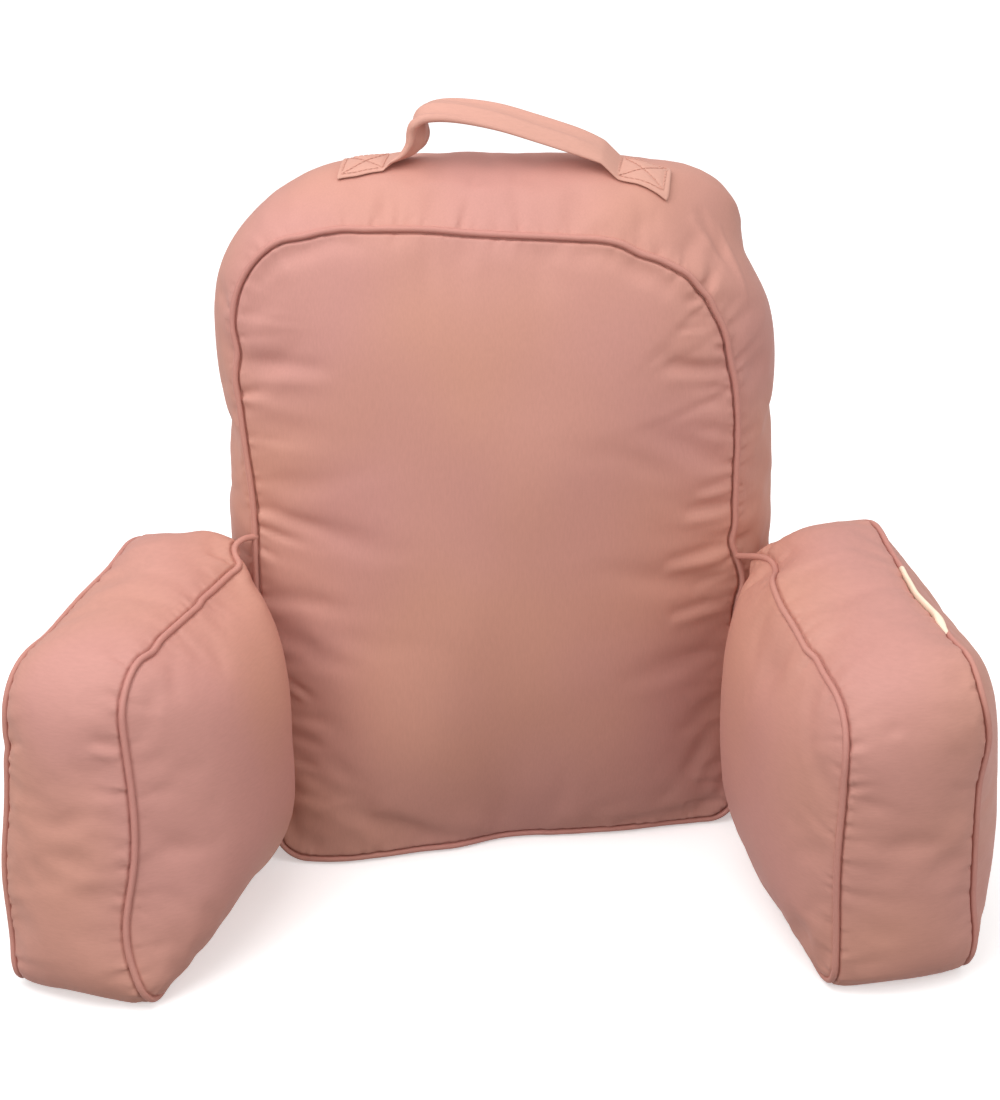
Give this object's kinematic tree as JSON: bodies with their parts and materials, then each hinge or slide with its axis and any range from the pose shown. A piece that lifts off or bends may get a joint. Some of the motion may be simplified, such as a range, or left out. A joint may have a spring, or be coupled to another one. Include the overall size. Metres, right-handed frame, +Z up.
{
  "type": "pram cushion",
  "caption": "Upright boxed back cushion with two splayed boxed arms, piped seams, a carrying strap on top and a small folded loop label, standing on its own base.",
  "frame": {"origin": "middle of the back cushion's flat base, on the surface that it stands on", "axes": "+Z up along the back cushion, -Y to the front where the arms reach, +X across the arms to the right as seen from the front"},
  "size_m": [0.523, 0.2936, 0.425],
  "materials": {
    "back_cushion": "dusty rose cotton sateen",
    "left_arm": "dusty rose cotton sateen",
    "right_arm": "dusty rose cotton sateen",
    "back_front_piping": "cord covered in the same cotton",
    "back_rear_piping": "cord covered in the same cotton",
    "left_arm_inner_piping": "cord covered in the same cotton",
    "left_arm_outer_piping": "cord covered in the same cotton",
    "right_arm_inner_piping": "cord covered in the same cotton",
    "right_arm_outer_piping": "cord covered in the same cotton",
    "handle": "folded and stitched cotton",
    "label": "woven cream tape, bare"
  },
  "bodies": {
    "root": {"back_cushion": "back_cushion", "left_arm": "left_arm", "right_arm": "right_arm", "back_front_piping": "back_front_piping", "back_rear_piping": "back_rear_piping", "left_arm_inner_piping": "left_arm_inner_piping", "left_arm_outer_piping": "left_arm_outer_piping", "right_arm_inner_piping": "right_arm_inner_piping", "right_arm_outer_piping": "right_arm_outer_piping", "handle": "handle", "label": "label"}
  },
  "joints": []
}
